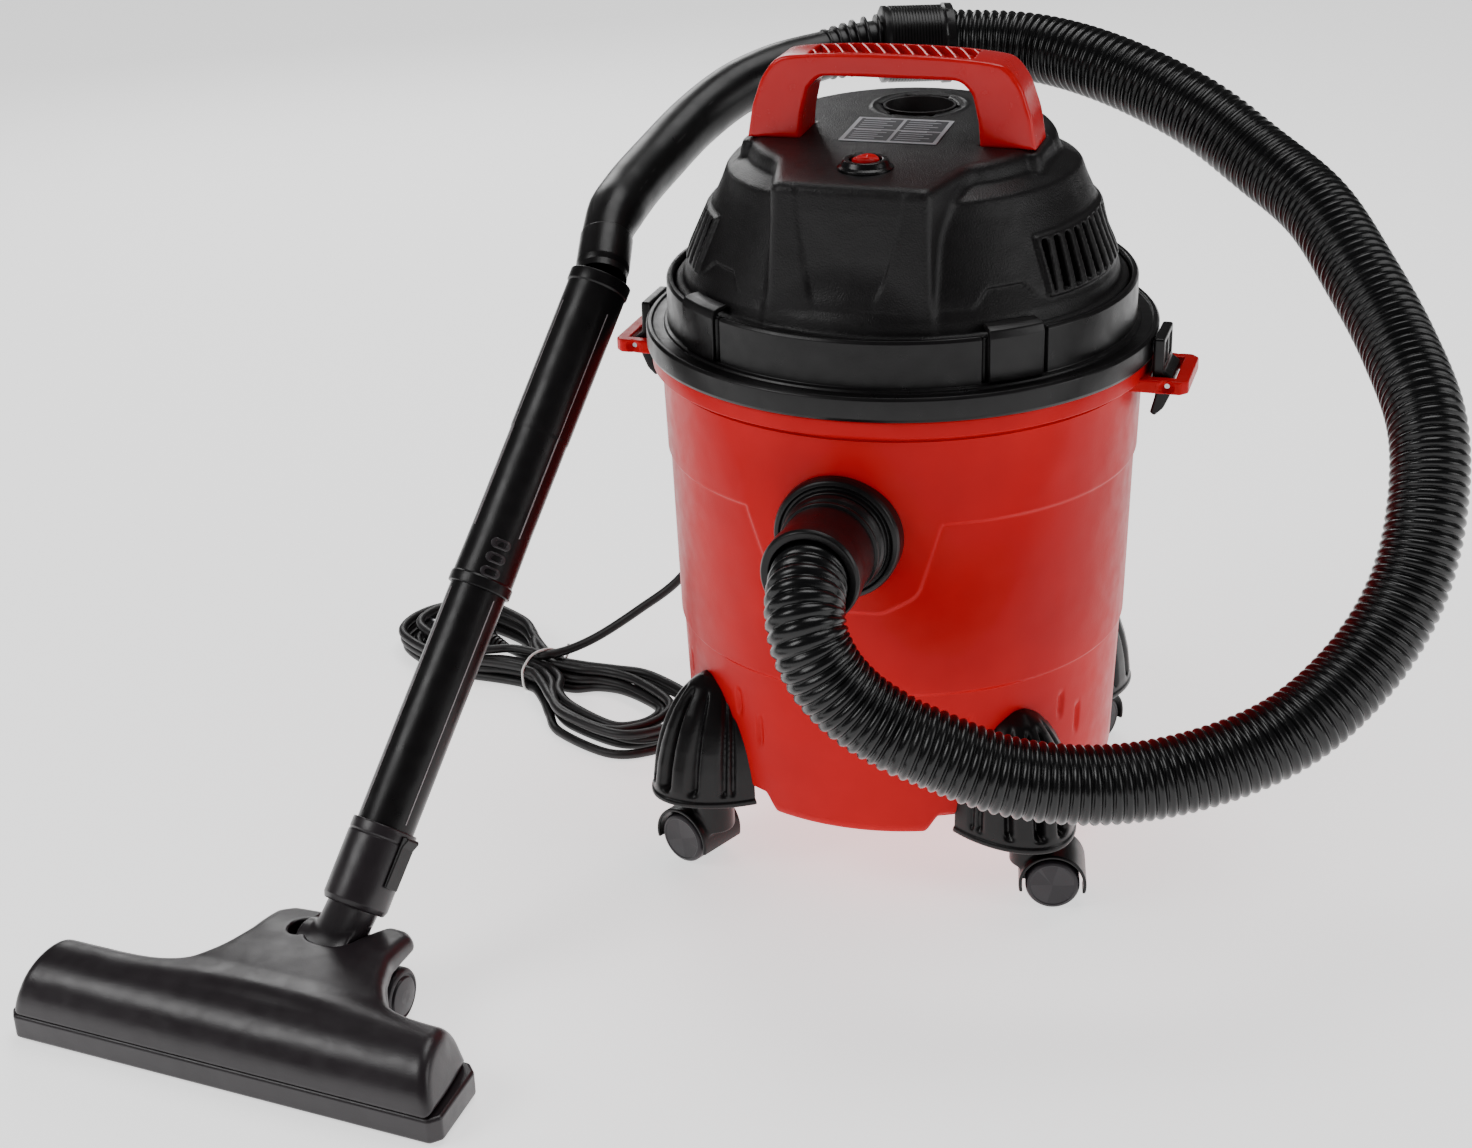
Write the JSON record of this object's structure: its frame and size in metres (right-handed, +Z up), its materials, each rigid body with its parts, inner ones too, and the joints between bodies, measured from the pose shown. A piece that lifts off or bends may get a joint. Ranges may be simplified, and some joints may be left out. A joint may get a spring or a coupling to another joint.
{
  "type": "shop vacuum",
  "caption": "Wet and dry shop vacuum: round red drum on casters, black motor head with carry handle, ribbed hose, grip tube, wand and floor nozzle, mains lead in a tied hank.",
  "frame": {"origin": "point on the floor on the axis of the drum", "axes": "+Z up along the drum axis; -Y towards the suction inlet; +X to the machine's left-hand side as seen facing the inlet from behind, right in a front view"},
  "size_m": [0.7425, 0.6408, 0.485],
  "materials": {
    "red_plastic": "satin red moulded plastic",
    "black_plastic": "fine textured black",
    "black_satin": "smooth satin black",
    "rubber": "dull",
    "steel": "brushed",
    "copper": "varnished winding",
    "foam": "open cell",
    "label_foil": "foil",
    "white_plastic": "plain",
    "bristle": "nylon bristle",
    "wheel_grey": "plain"
  },
  "bodies": {
    "drum": {"drum": "red_plastic", "inlet_socket": "black_plastic", "pod_fl": "black_plastic", "pod_fr": "black_plastic", "pod_rl": "black_plastic", "pod_rr": "black_plastic", "latch_pin_left": "steel", "latch_pin_right": "steel", "rim_seal": "rubber", "inlet_elbow": "black_plastic", "hose": "rubber", "hose_cuff": "black_satin", "cord_lead": "rubber", "cord_hank": "rubber", "cord_tie": "white_plastic", "plug": "rubber"},
    "head": {"lid_ring": "black_plastic", "head_cover": "black_plastic", "head_deck": "black_plastic", "handle": "red_plastic", "head_screws": "steel", "rating_label": "label_foil", "switch_body": "black_plastic", "motor_can": "steel", "stator": "copper", "motor_bearings": "steel", "fan_case": "black_satin", "motor_plate": "black_plastic", "float_cage": "black_plastic", "foam_filter": "foam", "filter_clamp": "steel", "exhaust_duct": "black_plastic", "cord_gland": "black_plastic"},
    "rotor": {"motor_shaft": "steel", "armature": "steel", "impeller": "steel"},
    "float": {"float_cup": "white_plastic"},
    "switch_rocker": {"rocker": "red_plastic"},
    "catch_left": {"latch_left": "black_plastic"},
    "catch_right": {"latch_right": "black_plastic"},
    "wand": {"bent_tube": "black_satin", "wand_upper": "black_satin", "wand_lower": "black_satin", "nozzle_neck": "black_satin", "neck_clip": "black_satin"},
    "nozzle": {"nozzle_shell": "black_satin", "nozzle_base": "black_satin", "nozzle_brushes": "bristle"},
    "nozzle_rollers": {"nozzle_wheels": "wheel_grey"},
    "caster_fl": {"caster_stem_fl": "steel", "caster_hood_fl": "black_plastic"},
    "wheels_fl": {"caster_wheels_fl": "wheel_grey"},
    "caster_fr": {"caster_stem_fr": "steel", "caster_hood_fr": "black_plastic"},
    "wheels_fr": {"caster_wheels_fr": "wheel_grey"},
    "caster_rl": {"caster_stem_rl": "steel", "caster_hood_rl": "black_plastic"},
    "wheels_rl": {"caster_wheels_rl": "wheel_grey"},
    "caster_rr": {"caster_stem_rr": "steel", "caster_hood_rr": "black_plastic"},
    "wheels_rr": {"caster_wheels_rr": "wheel_grey"}
  },
  "joints": [
    {"name": "head_lift", "type": "slide", "parent": "drum", "child": "head", "axis": [0, 0, 1], "range_m": [0, 0.15]},
    {"name": "motor_spin", "type": "hinge", "parent": "head", "child": "rotor", "pos_m": [0, 0, 0.375], "axis": [0, 0, 1], "continuous": true},
    {"name": "float_rise", "type": "slide", "parent": "head", "child": "float", "axis": [0, 0, 1], "range_m": [0, 0.03]},
    {"name": "switch_rock", "type": "hinge", "parent": "head", "child": "switch_rocker", "pos_m": [0, -0.078, 0.434], "axis": [1, 0, 0], "range_deg": [0, 14]},
    {"name": "latch_left_swing", "type": "hinge", "parent": "drum", "child": "catch_left", "pos_m": [-0.16, 0, 0.302], "axis": [0, -1, 0], "range_deg": [0, 18]},
    {"name": "latch_right_swing", "type": "hinge", "parent": "drum", "child": "catch_right", "pos_m": [0.16, 0, 0.302], "axis": [0, 1, 0], "range_deg": [0, 18]},
    {"name": "caster_fl_swivel", "type": "hinge", "parent": "drum", "child": "caster_fl", "pos_m": [-0.09234, -0.10255, 0.046], "axis": [0, 0, 1], "continuous": true},
    {"name": "caster_fl_roll", "type": "hinge", "parent": "caster_fl", "child": "wheels_fl", "pos_m": [-0.10431, -0.09747, 0.016], "axis": [-0.3907, -0.9205, 0], "continuous": true},
    {"name": "caster_fr_swivel", "type": "hinge", "parent": "drum", "child": "caster_fr", "pos_m": [0.10255, -0.09234, 0.046], "axis": [0, 0, 1], "continuous": true},
    {"name": "caster_fr_roll", "type": "hinge", "parent": "caster_fr", "child": "wheels_fr", "pos_m": [0.11527, -0.08964, 0.016], "axis": [-0.2079, 0.9781, 0], "continuous": true},
    {"name": "caster_rl_swivel", "type": "hinge", "parent": "drum", "child": "caster_rl", "pos_m": [-0.10255, 0.09234, 0.046], "axis": [0, 0, 1], "continuous": true},
    {"name": "caster_rl_roll", "type": "hinge", "parent": "caster_rl", "child": "wheels_rl", "pos_m": [-0.10905, 0.1036, 0.016], "axis": [-0.866, -0.5, 0], "continuous": true},
    {"name": "caster_rr_swivel", "type": "hinge", "parent": "drum", "child": "caster_rr", "pos_m": [0.09234, 0.10255, 0.046], "axis": [0, 0, 1], "continuous": true},
    {"name": "caster_rr_roll", "type": "hinge", "parent": "caster_rr", "child": "wheels_rr", "pos_m": [0.09884, 0.11381, 0.016], "axis": [-0.866, 0.5, 0], "continuous": true},
    {"name": "wand_lift", "type": "hinge", "parent": "drum", "child": "wand", "pos_m": [-0.062, 0.19, 0.443], "axis": [-0.9164, -0.3995, 0.0235], "range_deg": [0, 10]},
    {"name": "nozzle_tilt", "type": "hinge", "parent": "wand", "child": "nozzle", "pos_m": [-0.24805, -0.30801, 0.036], "axis": [-0.9962, 0.0872, 0], "range_deg": [0, 25]},
    {"name": "nozzle_roll", "type": "hinge", "parent": "nozzle", "child": "nozzle_rollers", "pos_m": [-0.24805, -0.30801, 0.016], "axis": [0.9962, -0.0872, 0], "continuous": true}
  ]
}
